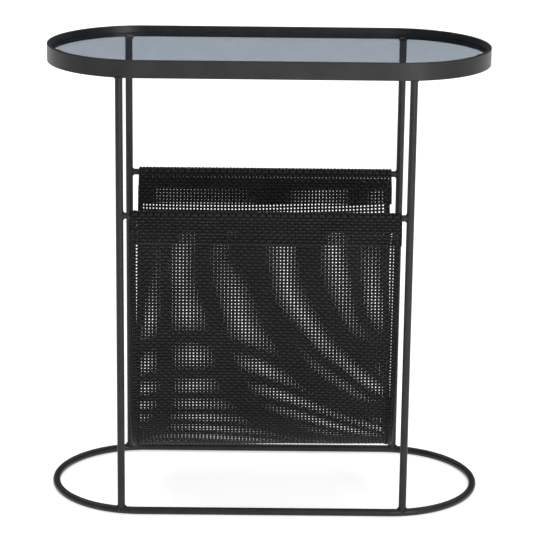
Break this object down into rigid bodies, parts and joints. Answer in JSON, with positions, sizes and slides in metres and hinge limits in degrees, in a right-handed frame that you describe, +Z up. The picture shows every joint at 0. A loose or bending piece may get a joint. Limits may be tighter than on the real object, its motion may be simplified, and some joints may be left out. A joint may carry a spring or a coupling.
{
  "type": "side table",
  "caption": "Oval side table with a loose smoked glass top in a raised steel rim, slim rod legs on an oval floor ring, and a mesh magazine sling hung between two cross rods.",
  "frame": {"origin": "on the floor, at the middle of the base ring", "axes": "+Z up, X along the long side, -Y towards the front, where the picture was taken from"},
  "size_m": [0.48, 0.206, 0.506],
  "materials": {
    "powder_coat": "fine matt black powder coat",
    "smoked_glass": "clear smoked grey-blue, polished edge",
    "mesh_cloth": "open plain weave of coated yarn, matt black",
    "clear_silicone": "clear satin silicone"
  },
  "bodies": {
    "frame": {"top_band": "powder_coat", "tab_end_left": "powder_coat", "tab_end_right": "powder_coat", "tab_front_left": "powder_coat", "tab_front_right": "powder_coat", "tab_back_left": "powder_coat", "tab_back_right": "powder_coat", "pad_end_left": "clear_silicone", "pad_end_right": "clear_silicone", "pad_front_left": "clear_silicone", "pad_front_right": "clear_silicone", "pad_back_left": "clear_silicone", "pad_back_right": "clear_silicone", "base_ring": "powder_coat", "leg_front_left": "powder_coat", "leg_front_right": "powder_coat", "leg_back_left": "powder_coat", "leg_back_right": "powder_coat", "cross_rod_front": "powder_coat", "cross_rod_back": "powder_coat", "magazine_sling": "mesh_cloth"},
    "glass": {"glass_top": "smoked_glass"}
  },
  "joints": [
    {"name": "glass_lift", "type": "slide", "parent": "frame", "child": "glass", "axis": [0, 0, 1], "range_m": [0, 0.08]}
  ]
}
